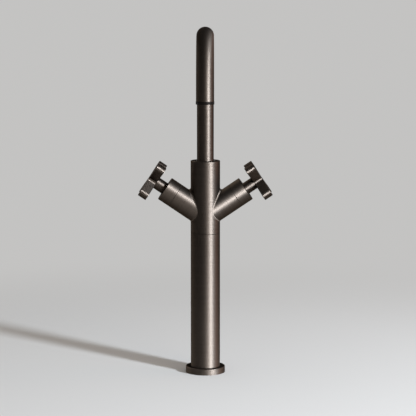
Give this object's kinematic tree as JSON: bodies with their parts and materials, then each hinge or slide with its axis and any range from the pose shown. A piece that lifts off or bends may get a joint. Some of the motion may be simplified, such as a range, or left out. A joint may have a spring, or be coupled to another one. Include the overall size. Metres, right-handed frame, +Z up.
{
  "type": "tall basin mixer",
  "caption": "Tall deck-mounted basin mixer: a round column with side branches that carry cross handles, and an arched swivel spout.",
  "frame": {"origin": "centre of the foot's underside, on the column's axis", "axes": "+Z up along the column, the spout points along -Y, the hot branch is towards -X and the cold branch towards +X"},
  "size_m": [0.159, 0.1744, 0.4145],
  "materials": {
    "dark_bronze": "brushed, with a dark bronze coating",
    "raw_brass": "turned",
    "copper": "drawn tube",
    "stainless": "turned",
    "black_rubber": "moulded",
    "bearing_plastic": "turned",
    "pale_plastic": "moulded",
    "ceramic": "lapped"
  },
  "bodies": {
    "body": {"base_flange": "dark_bronze", "column_tube": "dark_bronze", "forked_body": "dark_bronze", "base_insert": "raw_brass", "column_coupler": "raw_brass", "base_gasket": "black_rubber", "flange_o_ring": "black_rubber", "riser_o_rings": "black_rubber", "hot_riser": "copper", "cold_riser": "copper", "spout_lock_screw": "stainless", "spout_thrust_washer": "bearing_plastic", "spout_bush": "bearing_plastic", "hot_branch_sleeve": "dark_bronze", "hot_headwork": "raw_brass", "hot_seat_seal": "black_rubber", "hot_headwork_washer": "black_rubber", "hot_fixed_disc": "ceramic", "cold_branch_sleeve": "dark_bronze", "cold_headwork": "raw_brass", "cold_seat_seal": "black_rubber", "cold_headwork_washer": "black_rubber", "cold_fixed_disc": "ceramic"},
    "spout": {"spout_tube": "dark_bronze", "spout_spigot": "raw_brass", "spout_o_rings": "black_rubber", "aerator_housing": "dark_bronze", "flow_straightener": "pale_plastic", "aerator_screen": "stainless", "flow_regulator": "pale_plastic", "aerator_washer": "black_rubber"},
    "hot_handle": {"hot_turning_disc": "ceramic", "hot_spindle": "raw_brass", "hot_spindle_o_rings": "black_rubber", "hot_spindle_clip": "stainless", "hot_handle_hub": "dark_bronze", "hot_hub_screw": "stainless", "hot_cross_handle": "dark_bronze"},
    "cold_handle": {"cold_turning_disc": "ceramic", "cold_spindle": "raw_brass", "cold_spindle_o_rings": "black_rubber", "cold_spindle_clip": "stainless", "cold_handle_hub": "dark_bronze", "cold_hub_screw": "stainless", "cold_cross_handle": "dark_bronze"}
  },
  "joints": [
    {"name": "spout_swivel", "type": "hinge", "parent": "body", "child": "spout", "pos_m": [0, 0, 0.2553], "axis": [0, 0, 1], "range_deg": [-60, 60]},
    {"name": "hot_turn", "type": "hinge", "parent": "body", "child": "hot_handle", "pos_m": [0, 0, 0.1893], "axis": [-0.829, 0, 0.5592], "range_deg": [0, 90]},
    {"name": "cold_turn", "type": "hinge", "parent": "body", "child": "cold_handle", "pos_m": [0, 0, 0.1893], "axis": [0.829, 0, 0.5592], "range_deg": [-90, 0]}
  ]
}
